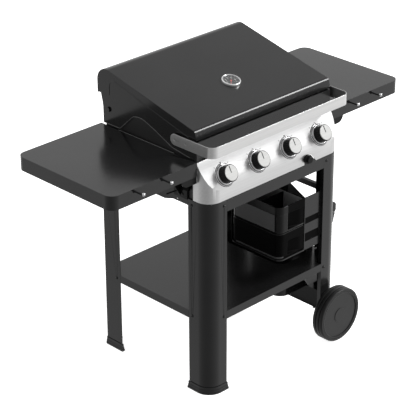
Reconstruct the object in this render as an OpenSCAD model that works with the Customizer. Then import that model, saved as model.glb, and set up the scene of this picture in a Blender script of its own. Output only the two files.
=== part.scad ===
// Outdoor gas grill on an open cart: hinged hood, four burners, two side shelves.
// Origin: bottom centre of the whole object on the floor. +X right, +Y to the rear, +Z up. Millimetres.

/* [Overall] */
// Total width over both side shelves
shelf_span = 1350; // [1250:5:1450]
// Width of the cart and the hood body
cart_w = 628; // [600:2:660]
// Depth of the cart over its legs
cart_d = 507; // [470:1:540]
// Height of the side shelf tops
shelf_h = 844; // [800:2:900]

/* [Cart] */
// Plan radius of the rounded corner columns
corner_r = 51; // [40:1:60]
// Sheet thickness of the legs and rails
leg_t = 2; // [1.5:0.5:3]
// Width of each leg seen from the front
leg_front_w = 83; // [70:1:95]
// Depth of the front legs seen from the side
leg_side_f = 94; // [80:1:105]
// Depth of the rear legs seen from the side
leg_side_r = 79; // [70:1:95]
// Width of the rear legs seen from behind
leg_rear_w = 55; // [53:1:70]
// Top of the legs, underside of the control panel
leg_top = 704; // [690:1:715]
// Height of the bottom shelf surface
low_shelf_h = 298; // [280:1:320]
// Depth of the bottom shelf flange
low_flange = 29; // [20:1:40]
// Wheel outer diameter
wheel_d = 198; // [180:1:210]
// Wheel tread width
wheel_w = 44; // [36:1:52]

/* [Side shelves] */
// Front to rear depth of the side shelves
shelf_d = 450; // [420:2:480]
// Depth of the shelf apron
apron_h = 48; // [40:1:60]
// Plan radius of the outer shelf corners
shelf_r = 32; // [20:1:50]

/* [Hood] */
// Radius of the rear ridge of the hood
ridge_r = 45; // [35:1:55]
// Fall of the hood top, degrees
hood_slope = 13; // [10:0.5:16]
// Height of the hinge pin
pin_z = 900; // [895:1:910]
// Height of the handle band
band_h = 38; // [30:1:45]

/* [Controls] */
// Lean of the knob face from vertical, degrees
face_lean = 30; // [26:0.5:34]
// Centre distance of the knobs
knob_pitch = 148.5; // [140:0.5:152]
// Knob grip diameter
knob_d = 56; // [50:1:60]

/* [Hidden] */
$fn = 48;
hx = cart_w / 2;
hy = cart_d / 2;
sx = shelf_span / 2;
lt = leg_t;
ret = 15;                       // return flange of the legs
rail_x = hx - leg_front_w;      // inner edge of the front legs
rail_xr = hx - leg_rear_w;      // inner edge of the rear legs
side_y0 = -hy + leg_side_f;     // side opening, front end
side_y1 = hy - leg_side_r;      // side opening, rear end
rail_z0 = leg_top - 42;
scr_x = hx - 70;                // screws on the front legs
scr_xr = hx - 30;               // screws on the rear legs
scr_zl = low_shelf_h - 17;
scr_zu = leg_top - 19;
scr_yf = -hy + 78;
scr_yr = hy - 60;
pan_h = leg_top + 0.5;          // underside of the control panel
crease_z = 747.5;
face_top = 840;
pin_y = 211;
hood_x = hx - 1;                // half width of the hood shell
rear_y = 262.5;                 // rear face of the hood
shelf_x0 = hx + 1;              // inner edge of the side shelves
shelf_y0 = -204;
brk_f = -128;                   // support brackets of the side shelves
brk_r = 140;
brk_holes = [[-18, 741], [18, 741], [-8, 713], [8, 713]];
kx = [-1.5 * knob_pitch, -0.5 * knob_pitch, 0.5 * knob_pitch, 1.5 * knob_pitch];
knob_s = 39;                    // knob centre above the crease, along the face
ny = -cos(face_lean);
nz = sin(face_lean);
kpy = -hy + knob_s * sin(face_lean);
kpz = crease_z + knob_s * cos(face_lean);
burn_z = 770;
inlet_x = 180;
ign_x = 143;
ign_z = 725;
axle_x = 276.5;
axle_z = wheel_d / 2;
wh_y = 309.5;                   // outer wheel face from the centre plane
well_x0 = 120;                  // pan under the bottom shelf, outer plan
well_x1 = 290;
well_y0 = -167;
well_y1 = 150;
well_r = 40;
gauge_y = -41.5;
band_x = 323;
band_y = -278.5;
band_z = 877;
arm_end = -91.5;
bin_x0 = 25;
bin_x1 = 150;
bin_y0 = -243.5;
bin_y1 = -16;

// ---------- helpers ----------
function arc(cx, cy, r, a0, a1, n) = [for (i = [0:n]) [cx + r * cos(a0 + (a1 - a0) * i / n), cy + r * sin(a0 + (a1 - a0) * i / n)]];
function unit(v) = v / norm(v);
function nrm(a, b) = let (d = unit(b - a)) [-d[1], d[0]];
function miter(p, i) = let (n = len(p),
    n0 = i > 0 ? nrm(p[i - 1], p[i]) : nrm(p[0], p[1]),
    n1 = i < n - 1 ? nrm(p[i], p[i + 1]) : nrm(p[n - 2], p[n - 1]),
    m = unit(n0 + n1)) m / max(0.3, m * n0);
// closed strip of sheet on the left hand of a path
module ribbon(p, t) {
  polygon(concat(p, [for (i = [len(p) - 1:-1:0]) p[i] + t * miter(p, i)]));
}
// polygon drawn in the Y-Z plane, extruded along +X from x0 to x1
module yz(x0, x1) {
  translate([x0, 0, 0]) rotate([90, 0, 90]) linear_extrude(x1 - x0) children();
}
module box(a, b) { translate(a) cube(b - a); }
module cyl_y(x, z, y0, y1, r) { translate([x, y0, z]) rotate([-90, 0, 0]) cylinder(r = r, h = y1 - y0); }
module cyl_x(y, z, x0, x1, r) { translate([x0, y, z]) rotate([0, 90, 0]) cylinder(r = r, h = x1 - x0); }
module rrect(w, d, r) {
  square([w - 2 * r, d], center = true);
  square([w, d - 2 * r], center = true);
  for (i = [-1, 1], j = [-1, 1]) translate([i * (w / 2 - r), j * (d / 2 - r)]) circle(r = r);
}
// frame on the knob face: x along the panel, y up the face, z out of it
module on_face(x, s) {
  translate([x, -hy + s * sin(face_lean), crease_z + s * cos(face_lean)])
    rotate([90 - face_lean, 0, 0]) children();
}
// frame on the hood top
module on_hood(x, y) {
  translate([x, y, 947.5 + tan(hood_slope) * (y + 182)]) rotate([hood_slope, 0, 0]) children();
}

// ---------- cart ----------
// plan of the front left column; the rear ones have a sharp bend and no side return
module leg_plan(ws, wf, r0, g = 0, t = lt) {
  r = r0 + g;
  translate([-hx + r0, -hy + r0]) intersection() {
    difference() { circle(r = r, $fn = 96); circle(r = max(0.05, r0 - t - g), $fn = 96); }
    translate([-r, -r]) square([r, r]);
  }
  translate([-hx - g, -hy + r0]) square([t + 2 * g, ws - r0 + g]);
  translate([-hx + r0, -hy - g]) square([wf - r0 + g, t + 2 * g]);
  if (r0 > 10) translate([-hx - g, -hy + ws - t - g]) square([ret + g, t + 2 * g]);
  translate([-hx + wf - t - g, -hy - g]) square([t + 2 * g, (r0 > 10 ? ret : 14) + g]);
}
module leg(ws, wf, r0, z0, z1, side_z) {
  sx0 = r0 > 10 ? scr_x : scr_xr;
  difference() {
    translate([0, 0, z0]) linear_extrude(z1 - z0) leg_plan(ws, wf, r0);
    // notches in the return flanges for rails and shelf
    for (z = [[rail_z0 - 3, z1 + 1], [low_shelf_h - low_flange - 4, low_shelf_h + 3]])
      box([-hx + wf - lt - 0.1, -hy + lt, z[0]], [-hx + wf + 1, -hy + ret + 1, z[1]]);
    for (z = [[side_z - 3, z1 + 1], [low_shelf_h - low_flange - 4, low_shelf_h + 3]])
      box([-hx + lt, -hy + ws - lt - 0.1, z[0]], [-hx + ret + 1, -hy + ws + 1, z[1]]);
    for (z = [scr_zl, scr_zu]) {
      cyl_y(-sx0, z, -hy - 1, -hy + lt + 1, 2.7);
      cyl_x(r0 > 10 ? scr_yf : -scr_yr, z, -hx - 1, -hx + lt + 1, 2.7);
    }
  }
}
module leg_front_left() { color("#2c2c2e") leg(leg_side_f, leg_front_w, corner_r, 8, leg_top, 681); }
module leg_rear_left() { color("#2c2c2e") mirror([0, 1, 0]) leg(leg_side_r, leg_rear_w, 4, 8, leg_top, 681); }
module leg_front_right() {
  color("#2c2c2e") difference() {
    mirror([1, 0, 0]) leg(leg_side_f, leg_front_w, corner_r, 58, leg_top, 681);
    cyl_y(axle_x, axle_z, -hy - 2, -hy + 12, 6.6);
    for (z = [400, 520]) box([230, -hy + lt + 0.01, z], [233.2, -hy + ret + 1, z + 12]);
  }
}
module leg_rear_right() {
  color("#2c2c2e") difference() {
    mirror([1, 0, 0]) mirror([0, 1, 0]) leg(leg_side_r, leg_rear_w, 4, 58, leg_top, 681);
    cyl_y(axle_x, axle_z, hy - 12, hy + 2, 6.6);
  }
}
// moulded cap that flares towards the floor
module foot_cap(ws, wf, r0) {
  difference() {
    union() {
      linear_extrude(7) leg_plan(ws, wf, r0, 5, lt);
      translate([0, 0, 6.99]) linear_extrude(8) leg_plan(ws, wf, r0, 3.6, lt);
      translate([0, 0, 14.98]) linear_extrude(11) leg_plan(ws, wf, r0, 2.4, lt);
    }
    translate([0, 0, 7.9]) linear_extrude(30) leg_plan(ws, wf, r0, 0.1, lt);
  }
}
module foot_caps() {
  color("#1a1a1b") { foot_cap(leg_side_f, leg_front_w, corner_r); mirror([0, 1, 0]) foot_cap(leg_side_r, leg_rear_w, 4); }
}
module rail_front(rx, ax) {
  difference() {
    union() {
      box([-rx + 0.3, -hy, rail_z0], [rx - 0.3, -hy + lt, leg_top - 0.5]);
      box([-rx + 0.3, -hy + lt - 0.01, rail_z0], [rx - 0.3, -hy + 16, rail_z0 + 1.5]);
      box([-rx + 0.3, -hy + lt - 0.01, leg_top - 2], [rx - 0.3, -hy + 16, leg_top - 0.5]);
      for (s = [-1, 1]) {
        box([s * (rx + (ax - rx) / 2) - 22, -hy + lt + 0.1, rail_z0 + 3], [s * (rx + (ax - rx) / 2) + 22, -hy + lt + 1.7, leg_top - 3]);
        box([s * (rx - 8) - 7, -hy + lt - 0.01, rail_z0 + 3], [s * (rx - 8) + 7, -hy + lt + 0.2, leg_top - 3]);
      }
    }
    for (s = [-1, 1]) cyl_y(s * ax, scr_zu, -hy - 1, -hy + 6, 2.7);
  }
}
module cart_rails() {
  color("#2c2c2e") {
    union() {
      rail_front(rail_x, scr_x);
      // raised tab that carries the igniter
      difference() {
        translate([0, -hy + lt, 0]) rotate([90, 0, 0]) linear_extrude(lt)
          polygon([[134, leg_top - 3], [134, 733], [162.8, 733], [190.5, leg_top - 3]]);
        cyl_y(ign_x, ign_z, -hy - 1, -hy + 4, 6.7);
      }
    }
    mirror([0, 1, 0]) rail_front(rail_xr, scr_xr);
    // middle rail on the right hand side
    difference() {
      union() {
        box([hx - lt, side_y0 + 0.3, 521.5], [hx, side_y1 - 0.3, 549.5]);
        box([hx - 14, side_y0 + 0.3, 548], [hx - lt + 0.01, side_y1 - 0.3, 549.5]);
        box([hx - 12, side_y0 + 0.3, 523.5], [hx - lt + 0.01, side_y0 + 1.8, 547.5]);
        box([hx - 12, side_y1 - 1.8, 523.5], [hx - lt + 0.01, side_y1 - 0.3, 547.5]);
      }
    }
    // gusset plates between the bottom shelf and the right hand legs
    for (m = [0, 1]) mirror([0, m, 0]) {
      rx = m > 0 ? rail_xr : rail_x;
      translate([0, -hy + lt, 0]) rotate([90, 0, 0]) linear_extrude(lt)
        polygon([[147, 268.6], [rx - 20.5, 268.6], [rx - 20.5, 239.5], [166.5, 240.5]]);
    }
  }
}
module side_panel() {
  difference() {
    union() {
      box([-hx, side_y0 + 0.3, 681], [-hx + lt, side_y1 - 0.3, 762]);
      box([-hx + lt - 0.01, side_y0 + 0.3, 681], [-hx + 6, side_y1 - 0.3, 682.5]);
      for (y = [[side_y0 - 26, side_y0 + 12], [side_y1 - 12, side_y1 + 32]]) {
        box([-hx + lt + 0.1, y[0], 684], [-hx + lt + 1.7, y[1], leg_top - 2]);
      }
      box([-hx + lt - 0.01, side_y0 + 0.3, 684], [-hx + lt + 0.2, side_y0 + 12, leg_top - 2]);
      box([-hx + lt - 0.01, side_y1 - 12, 684], [-hx + lt + 0.2, side_y1 - 0.3, leg_top - 2]);
    }
    cyl_x(scr_yf, scr_zu, -hx - 1, -hx + 6, 2.7);
    cyl_x(scr_yr, scr_zu, -hx - 1, -hx + 6, 2.7);
    for (y = [brk_f, brk_r], v = brk_holes) cyl_x(y + v[0], v[1], -hx - 1, -hx + 3, 2.7);
  }
}
module side_panels() {
  color("#2c2c2e") { side_panel(); mirror([1, 0, 0]) side_panel(); }
}
module bottom_shelf() {
  z1 = low_shelf_h;
  z0 = z1 - low_flange;
  color("#2c2c2e") difference() {
    union() {
      translate([0, 0, z1 - 1.5]) linear_extrude(1.5) {
        rrect(2 * (hx - lt - 0.4), 2 * (hy - lt - 0.4), corner_r - lt);
        translate([-hx + lt + 0.4, 0]) square([2 * (hx - lt - 0.4), hy - lt - 2.4]);
        translate([-rail_x + 0.3, -hy]) square([2 * (rail_x - 0.3), hy]);
        translate([-rail_xr + 0.3, 0]) square([2 * (rail_xr - 0.3), hy]);
        translate([-hx, side_y0 + 0.3]) square([2 * hx, side_y1 - side_y0 - 0.6]);
      }
      for (s = [-1, 1]) {
        rx = s > 0 ? rail_xr : rail_x;
        ax = s > 0 ? scr_xr : scr_x;
        box([-rx + 0.3, s > 0 ? hy - 1.5 : -hy, z0], [rx - 0.3, s > 0 ? hy : -hy + 1.5, z1 - 0.01]);
        box([s > 0 ? hx - 1.5 : -hx, side_y0 + 0.3, z0], [s > 0 ? hx : -hx + 1.5, side_y1 - 0.3, z1 - 0.01]);
        // screw tabs behind the leg faces
        for (x = [-1, 1]) {
          box([x * ax - 10, s > 0 ? hy - 3.9 : -hy + 2.4, z0 + 2], [x * ax + 10, s > 0 ? hy - 2.4 : -hy + 3.9, z1 - 0.01]);
        }
        box([s > 0 ? hx - 3.9 : -hx + 2.4, scr_yf - 10, z0 + 2], [s > 0 ? hx - 2.4 : -hx + 3.9, scr_yf + 10, z1 - 0.01]);
        box([s > 0 ? hx - 3.9 : -hx + 2.4, scr_yr - 10, z0 + 2], [s > 0 ? hx - 2.4 : -hx + 3.9, scr_yr + 10, z1 - 0.01]);
      }
    }
    for (x = [-1, 1]) {
      cyl_y(x * scr_x, scr_zl, -hy - 1, -hy + 6, 2.7);
      cyl_y(x * scr_xr, scr_zl, hy - 6, hy + 1, 2.7);
    }
    for (y = [scr_yf, scr_yr]) {
      cyl_x(y, scr_zl, -hx - 1, -hx + 6, 2.7);
      cyl_x(y, scr_zl, hx - 6, hx + 1, 2.7);
    }
    translate([0, 0, z1 - 3]) linear_extrude(6) well_plan(-1.5);
  }
}
module well_plan(g) {
  translate([(well_x0 + well_x1) / 2, (well_y0 + well_y1) / 2])
    rrect(well_x1 - well_x0 + 2 * g, well_y1 - well_y0 + 2 * g, well_r + g, $fn = 96);
}
module shelf_recess() {
  z0 = 170.5;
  z1 = low_shelf_h - 1.5;
  color("#2c2c2e") difference() {
    union() {
      translate([0, 0, z0]) linear_extrude(z1 - z0) well_plan(0);
      translate([0, 0, z1 - 1.5]) linear_extrude(1.5) well_plan(7);
    }
    translate([0, 0, z0 + 1.5]) linear_extrude(200) well_plan(-1.5);
    for (y = [-90, -8.5, 73]) translate([205, y, z0 - 1]) cylinder(r = 12, h = 4);
  }
}
module axle_carrier() {
  color("#2c2c2e") difference() {
    union() {
      // web with a lip bent forward along its lower edge
      translate([0, hy - 2.3, 0]) rotate([90, 0, 0]) linear_extrude(2 * (hy - 2.3))
        polygon([[262, 166], [262, 111], [257, 97], [258.9, 96.3], [264, 110.6], [264, 166]]);
      box([262, -hy + 12, 164], [296, hy - 12, 166]);
      box([294, -hy + 34, 124], [296, hy - 34, 166]);
      for (m = [0, 1]) mirror([0, m, 0]) box([262, -hy + 10.5, 111], [285, -hy + 12.5, 166]);
      // journal plates for the axle
      for (y = [-200, 198]) box([263, y, 88], [295, y + 2, 165]);
    }
    cyl_y(axle_x, axle_z, -260, 260, 6.1);
    // the lip stops short of the return flange of the rear leg
    box([250, hy - 15, 90], [265, hy, 111]);
  }
}
module axle() {
  color("#b8babc") {
    cyl_y(axle_x, axle_z, -302, 302, 6);
    for (m = [0, 1]) mirror([0, m, 0]) {
      // washer between leg and wheel, nut at the end
      difference() { cyl_y(axle_x, axle_z, -hy - 2.6, -hy - 0.4, 13); cyl_y(axle_x, axle_z, -hy - 4, -hy, 5.5); }
      cyl_y(axle_x, axle_z, -302, -296.5, 9);
    }
  }
}
// wheel with its outer face towards -Y
module wheel_hub() {
  y0 = -wh_y;
  y1 = -wh_y + wheel_w;
  r = wheel_d / 2;
  difference() {
    union() {
      cyl_y(axle_x, axle_z, y0 + 1.5, y1 - 3, r - 12.2, $fn = 96);
      cyl_y(axle_x, axle_z, y1 - 3.01, y1 + 8.5, 14);
    }
    // dished inner side
    difference() {
      cyl_y(axle_x, axle_z, y1 - 12, y1 + 1, r - 18, $fn = 96);
      cyl_y(axle_x, axle_z, y0 + 6, y1 + 2, 19);
    }
    cyl_y(axle_x, axle_z, y0 + 5, y1 + 20, 6.05);
    cyl_y(axle_x, axle_z, y0 + 5, y0 + 16, 10);
    // shallow dish on the outer face
    difference() {
      cyl_y(axle_x, axle_z, y0, y0 + 3, r - 17, $fn = 96);
      cyl_y(axle_x, axle_z, y0 - 1, y0 + 4, 26, $fn = 64);
    }
  }
}
module wheel_tyre() {
  y0 = -wh_y;
  y1 = -wh_y + wheel_w;
  r = wheel_d / 2;
  translate([axle_x, 0, axle_z]) rotate([90, 0, 0]) rotate_extrude($fn = 120)
    polygon([[r - 12, -y1], [r - 3, -y1], [r, -y1 + 4], [r, -y1 + 13], [r - 2.5, -y1 + 14], [r - 2.5, -y1 + 16.5], [r, -y1 + 17.5],
      [r, -y1 + 26.5], [r - 2.5, -y1 + 27.5], [r - 2.5, -y1 + 30], [r, -y1 + 31], [r, -y0 - 4], [r - 3, -y0], [r - 12, -y0]]);
}
module wheel_front_hub() { color("#2a2a2b") wheel_hub(); }
module wheel_front_tyre() { color("#1c1c1d") wheel_tyre(); }
module wheel_rear_hub() { color("#2a2a2b") mirror([0, 1, 0]) wheel_hub(); }
module wheel_rear_tyre() { color("#1c1c1d") mirror([0, 1, 0]) wheel_tyre(); }
// screw with its head on the surface at z = 0, head towards +Z
module screw(l = 9) {
  difference() {
    union() {
      cylinder(r = 5, h = 1.6);
      translate([0, 0, 1.59]) cylinder(r1 = 4.6, r2 = 3, h = 1.4);
      translate([0, 0, -l]) cylinder(r = 2.5, h = l + 0.01);
    }
    translate([0, 0, 1.5]) { cube([4.6, 1, 4], center = true); cube([1, 4.6, 4], center = true); }
  }
}
module cart_screws() {
  color("#151516") {
    for (x = [-1, 1], z = [scr_zl, scr_zu], m = [0, 1])
      mirror([0, m, 0]) translate([x * (m > 0 ? scr_xr : scr_x), -hy, z]) rotate([90, 0, 0]) screw();
    for (m = [0, 1], y = [scr_yf, scr_yr], z = [scr_zl, scr_zu])
      mirror([m, 0, 0]) translate([-hx, y, z]) rotate([0, -90, 0]) screw();
    for (m = [0, 1], y = [brk_f, brk_r], v = brk_holes)
      mirror([m, 0, 0]) translate([-hx - 2.1, y + v[0], v[1]]) rotate([0, -90, 0]) screw(5);
  }
}

// ---------- firebox ----------
fb_o = 309;
module firebox_side() {
  difference() {
    union() {
    for (y = [-70, 20, 100]) cyl_x(y, 722, -hx + lt + 0.1, -fb_o + 0.5, 7);
    yz(-fb_o, -fb_o + 2)
      polygon([[-186, 700], [-186, 850], [-112, 868], [-48, 900], [8, 922], [190, 926], [228, 926], [228, 700]]);
    }
    cyl_x(pin_y, pin_z, -fb_o - 1, -fb_o + 3, 5.05);
  }
}
module firebox_side_left() { color("#303032") firebox_side(); }
module firebox_side_right() { color("#303032") mirror([1, 0, 0]) firebox_side(); }
module firebox_body() {
  w = fb_o - 2.1;
  color("#303032") difference() {
    union() {
      // front wall, cooking grate ledge and flame tamer ledge
      yz(-w, w) polygon([[-187, 706], [-185.5, 706], [-185.5, 804.5], [-172, 804.5], [-172, 806], [-185.5, 806],
        [-185.5, 844.5], [-168, 844.5], [-168, 846], [-185.5, 846], [-185.5, 862], [-187, 862]]);
      // rear wall
      yz(-w, w) polygon([[228, 706], [226.5, 706], [226.5, 804.5], [208, 804.5], [208, 806], [226.5, 806],
        [226.5, 844.5], [202, 844.5], [202, 846], [226.5, 846], [226.5, 938], [216, 938], [216, 939.5], [228, 939.5]]);
      // sloping floor with the grease slot
      yz(-w, w) ribbon([[-186, 712], [-45, 676], [-45, 664]], -1.5);
      yz(-w, w) ribbon([[227, 712], [85, 676], [85, 664]], 1.5);
      for (s = [-1, 1]) yz(s > 0 ? w - 1.5 : -w, s > 0 ? w : -w + 1.5)
        polygon([[-186, 706], [-186, 712], [-45, 677], [85, 677], [227, 712], [227, 706], [85, 664], [-45, 664]]);
    }
    for (x = kx) cyl_y(x, burn_z, -190, -180, 13.2);
  }
}
module panel_solid(i) {
  // i = inset from the outer skin
  difference() {
    translate([0, 0, pan_h - (i > 0 ? 1 : 0)]) linear_extrude(face_top - pan_h - (i > 0 ? i - 1 : 0)) intersection() {
      rrect(2 * (hx - i), 2 * (hy - i), corner_r - i, $fn = 96);
      translate([-hx, -hy - 1]) square([2 * hx, 71]);
    }
    translate([0, -hy, crease_z]) rotate([-face_lean, 0, 0]) translate([-hx - 10, -200 + i * cos(0), -60]) cube([2 * hx + 20, 200, 400]);
  }
}
module control_panel() {
  color("#c9cacb") difference() {
    panel_solid(0);
    difference() {
      panel_solid(1.5);
      box([-400, -201, face_top - 1.5], [400, -150, face_top + 1]);
    }
    // open rear and underside
    box([-310, -187.4, pan_h - 2], [310, -150, face_top + 2]);
    for (x = kx) on_face(x, knob_s) translate([0, 0, -6]) cylinder(r = 7, h = 12);
    // notch round the igniter
    translate([0, -hy + 5, 0]) rotate([90, 0, 0]) linear_extrude(8)
      polygon([[133, 700], [133, 734.5], [163.7, 734.5], [193.5, 700]]);
    for (x = [-300, 300], z = [715, 735]) cyl_y(x, z, -hy - 5, -hy - 4, 1);
  }
}
module gas_manifold() {
  my = kpy + 38 * cos(face_lean) - 24 * sin(face_lean);
  mz = kpz - 38 * sin(face_lean) - 24 * cos(face_lean);
  color("#8d8f91") difference() {
    union() {
      cyl_x(my, mz, -250, 250, 10);
      // drop pipe, elbow block and the inlet that points to the right
      translate([inlet_x, my, 655]) cylinder(r = 8.5, h = mz - 655);
      box([inlet_x - 11, my - 11, 644], [inlet_x + 11, my + 11, 666]);
      cyl_y(inlet_x, 655, my, -138, 8);
      box([inlet_x - 11, -149, 644], [inlet_x + 11, -127, 666]);
      cyl_x(-138, 655, inlet_x + 10.9, inlet_x + 46, 8.5);
      cyl_x(my, mz, 249.9, 256, 12.5);
      cyl_x(my, mz, -256, -249.9, 12.5);
    }
    cyl_x(my, mz, -248, 248, 7.5);
    translate([inlet_x, my, 652]) cylinder(r = 5.5, h = mz - 652);
    cyl_y(inlet_x, 655, my, -138, 5.5);
    cyl_x(-138, 655, inlet_x, inlet_x + 47, 5.5);
    // saddles for the valves
    for (x = kx) on_face(x, knob_s) translate([0, -13, -38]) rotate([90, 0, 0]) cylinder(r = 5.2, h = 14);
  }
}
module gas_valves() {
  color("#9a8b62") for (x = kx) difference() {
    union() {
      on_face(x, knob_s) {
        translate([0, 0, -40]) cylinder(r = 11, h = 27);
        translate([0, 0, -13.1]) cylinder(r = 6.4, h = 8);
        translate([0, -9, -38]) rotate([90, 0, 0]) cylinder(r = 5, h = 11);
      }
      // gas outlet into the burner mouth
      cyl_y(x, burn_z, kpy + 24, -186, 4.5);
    }
    on_face(x, knob_s) translate([0, 0, -30]) cylinder(r = 4.05, h = 40);
    cyl_y(x, burn_z, -200, -180, 1);
  }
}
module burners() {
  color("#8f8d88") for (x = kx) difference() {
    union() {
      cyl_y(x, burn_z, -190, 196, 12.5);
      cyl_y(x, burn_z, 195.9, 212, 6);
    }
    cyl_y(x, burn_z, -191, 190, 11);
    // air slots and gas ports
    for (s = [-1, 1]) box([x - 5, -182, burn_z + (s > 0 ? 8 : -14)], [x + 5, -172, burn_z + (s > 0 ? 14 : -8)]);
    for (y = [-150:24:180], s = [-1, 1]) box([x + s * 11.5 - 3, y, burn_z + 1.5], [x + s * 11.5 + 3, y + 9, burn_z + 3.5]);
  }
}
module ignition_electrodes() {
  color("#d8d6cf") for (x = kx) {
    cyl_y(x + 26, burn_z + 4, -185.4, -150, 3.5);
    cyl_y(x + 26, burn_z + 4, -150.1, -128, 1.1);
    box([x + 15, -131, burn_z + 3], [x + 27, -129, burn_z + 5]);
  }
}
module flame_tamers() {
  color("#77787a") for (x = kx) difference() {
    translate([x, 219, 0]) rotate([90, 0, 0]) linear_extrude(397)
      ribbon([[-62, 807.6], [-50, 807.6], [-6, 833], [6, 833], [50, 807.6], [62, 807.6]], -1.2);
    for (y = [-140:56:180], s = [-1, 1]) box([x + s * 30 - 6, y, 800], [x + s * 30 + 6, y + 22, 840]);
  }
}
module grate(x0, x1) {
  n = 13;
  p = (x1 - x0 - 12) / n;
  union() {
    for (i = [0:n]) box([x0 + 2 + i * p, -180, 846.2], [x0 + 10 + i * p, 216, 858]);
    for (y = [-180, 12, 206]) box([x0, y, 846.2], [x1, y + 10, 855]);
  }
}
module grate_left() { color("#202021") grate(-303, -1.5); }
module grate_right() { color("#202021") grate(1.5, 303); }
module warming_rack() {
  color("#c0c1c3") union() {
    for (y = [70, 190]) box([-293, y - 3, 936], [293, y + 3, 940.5]);
    for (i = [-13:13]) box([i * 21.5 - 1.8, 64, 939.2], [i * 21.5 + 1.8, 196, 942.8]);
    for (s = [-1, 1], y = [70, 190]) box([s * 290 - 3, y - 3, 858.4], [s * 290 + 3, y + 3, 936.01]);
    for (s = [-1, 1]) box([s * 290 - 3, 66, 858.4], [s * 290 + 3, 194, 862]);
  }
}
module grease_tray() {
  color("#8e9092") difference() {
    union() {
      box([-88, -60, 634], [88, 246, 656]);
      box([-94, -60, 654.6], [94, 246, 656]);
      box([-94, 244.5, 634], [94, 246, 660]);
      box([-40, 246, 645], [40, 262, 646.5]);
    }
    box([-86.6, -58.6, 635.4], [86.6, 244.4, 660]);
  }
}
module tray_guides() {
  color("#303032") for (m = [0, 1]) mirror([m, 0, 0])
    translate([0, 236, 0]) rotate([90, 0, 0]) linear_extrude(301)
      ribbon([[90, 652.5], [96.5, 652.5], [96.5, 663.7], [116, 663.7]], -1.5);
}
module hinge_pins() {
  color("#1a1a1b") for (m = [0, 1]) mirror([m, 0, 0]) {
    cyl_x(pin_y, pin_z, -hx - 4, -298, 5);
    cyl_x(pin_y, pin_z, -hx - 4, -hx - 1.5, 9);
    cyl_x(pin_y, pin_z, -306.9, -300, 9);
  }
}

// ---------- hood ----------
sl = tan(hood_slope);
function top_z(y) = 947.5 + sl * (y + 182);
rc_y = rear_y - ridge_r;
rc_z = top_z(rc_y) - ridge_r / cos(hood_slope);
ns_y = -180.5;                  // nose bend centre
ns_r = 14;
hood_path = concat([[rear_y, 947]], arc(rc_y, rc_z, ridge_r, 0, 90 + hood_slope, 16),
  arc(ns_y, top_z(ns_y) - ns_r / cos(hood_slope), ns_r, 90 + hood_slope, 161, 8),
  [[-198.4, 914], [-184, 911]]);
front_path = [[-184, 909.3], [-200.5, 909.3], [-200.5, 842.5], [-192, 842.5]];
module hood_shell() {
  color("#343436") difference() {
    yz(-hood_x, hood_x) ribbon(hood_path, 1.5);
    on_hood(0, gauge_y) translate([0, 0, -10]) cylinder(r = 5, h = 20);
  }
}
module hood_front() { color("#343436") yz(-hood_x, hood_x) ribbon(front_path, 1.5); }
cap_path = concat([[rear_y - 1.7, 950]], arc(rc_y, rc_z, ridge_r - 1.7, 0, 90 + hood_slope, 12),
  arc(ns_y, top_z(ns_y) - ns_r / cos(hood_slope), ns_r - 1.7, 90 + hood_slope, 161, 6),
  [[-195.5, 916], [-182, 913], [-182, 906.8], [-198.7, 906.8], [-198.7, 844.5], [-170, 848], [-88, 859.5], [-39, 881], [-16, 891.5], [43, 914], [93.5, 911.5],
   [157.5, 849], [237, 849], [237.5, 905], [241, 925], [247, 950]]);
module hood_end() {
  difference() {
    yz(-hood_x + 0.5, -hood_x + 2.5) polygon(cap_path);
    cyl_x(pin_y, pin_z, -hood_x - 1, -hood_x + 4, 5.05);
    for (y = [-110, -160]) cyl_x(y, band_z + band_h / 2, -hood_x - 1, -hood_x + 4, 3.1);
  }
}
module hood_end_left() { color("#343436") hood_end(); }
module hood_end_right() { color("#343436") mirror([1, 0, 0]) hood_end(); }
module handle_band() {
  r = 28;
  t = 2;
  color("#cfd0d1") difference() {
    union() {
      translate([0, 0, band_z]) linear_extrude(band_h) {
        for (s = [-1, 1]) {
          translate([s * (band_x - r), band_y + r]) intersection() {
            difference() { circle(r = r, $fn = 96); circle(r = r - t, $fn = 96); }
            translate([s > 0 ? 0 : -r, -r]) square([r, r]);
          }
          translate([s > 0 ? band_x - t : -band_x, band_y + r]) square([t, arm_end - band_h / 2 - band_y - r]);
        }
        translate([-band_x + r, band_y]) square([2 * (band_x - r), t]);
      }
      for (s = [-1, 1]) cyl_x(arm_end - band_h / 2, band_z + band_h / 2, s > 0 ? band_x - t : -band_x, s > 0 ? band_x : -band_x + t, band_h / 2, $fn = 96);
    }
    for (s = [-1, 1], y = [-110, -160]) cyl_x(y, band_z + band_h / 2, s > 0 ? band_x - t - 1 : -band_x - 1, s > 0 ? band_x + 1 : -band_x + t + 1, 3.1);
  }
}
module handle_mounts() {
  color("#9c9ea0") for (m = [0, 1], y = [-110, -160]) mirror([m, 0, 0]) {
    // spacer sleeve, through bolt and inner nut
    difference() { cyl_x(y, band_z + band_h / 2, -band_x + 2, -hood_x + 0.5, 9); cyl_x(y, band_z + band_h / 2, -band_x, -hood_x + 2, 3.05); }
    cyl_x(y, band_z + band_h / 2, -band_x + 1.2, -hood_x + 3.4, 3);
  }
}
module gauge_case() {
  color("#c4c5c7") on_hood(0, gauge_y) difference() {
    union() {
      translate([0, 0, 0.05]) cylinder(r1 = 32, r2 = 31, h = 8, $fn = 96);
      translate([0, 0, -42]) cylinder(r = 3, h = 42.1);
      translate([0, 0, -10]) cylinder(r = 8, h = 8.3, $fn = 6);
    }
    translate([0, 0, 3]) cylinder(r = 28, h = 6, $fn = 96);
    translate([0, 0, 7]) cylinder(r = 28.5, h = 2, $fn = 96);
  }
}
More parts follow.
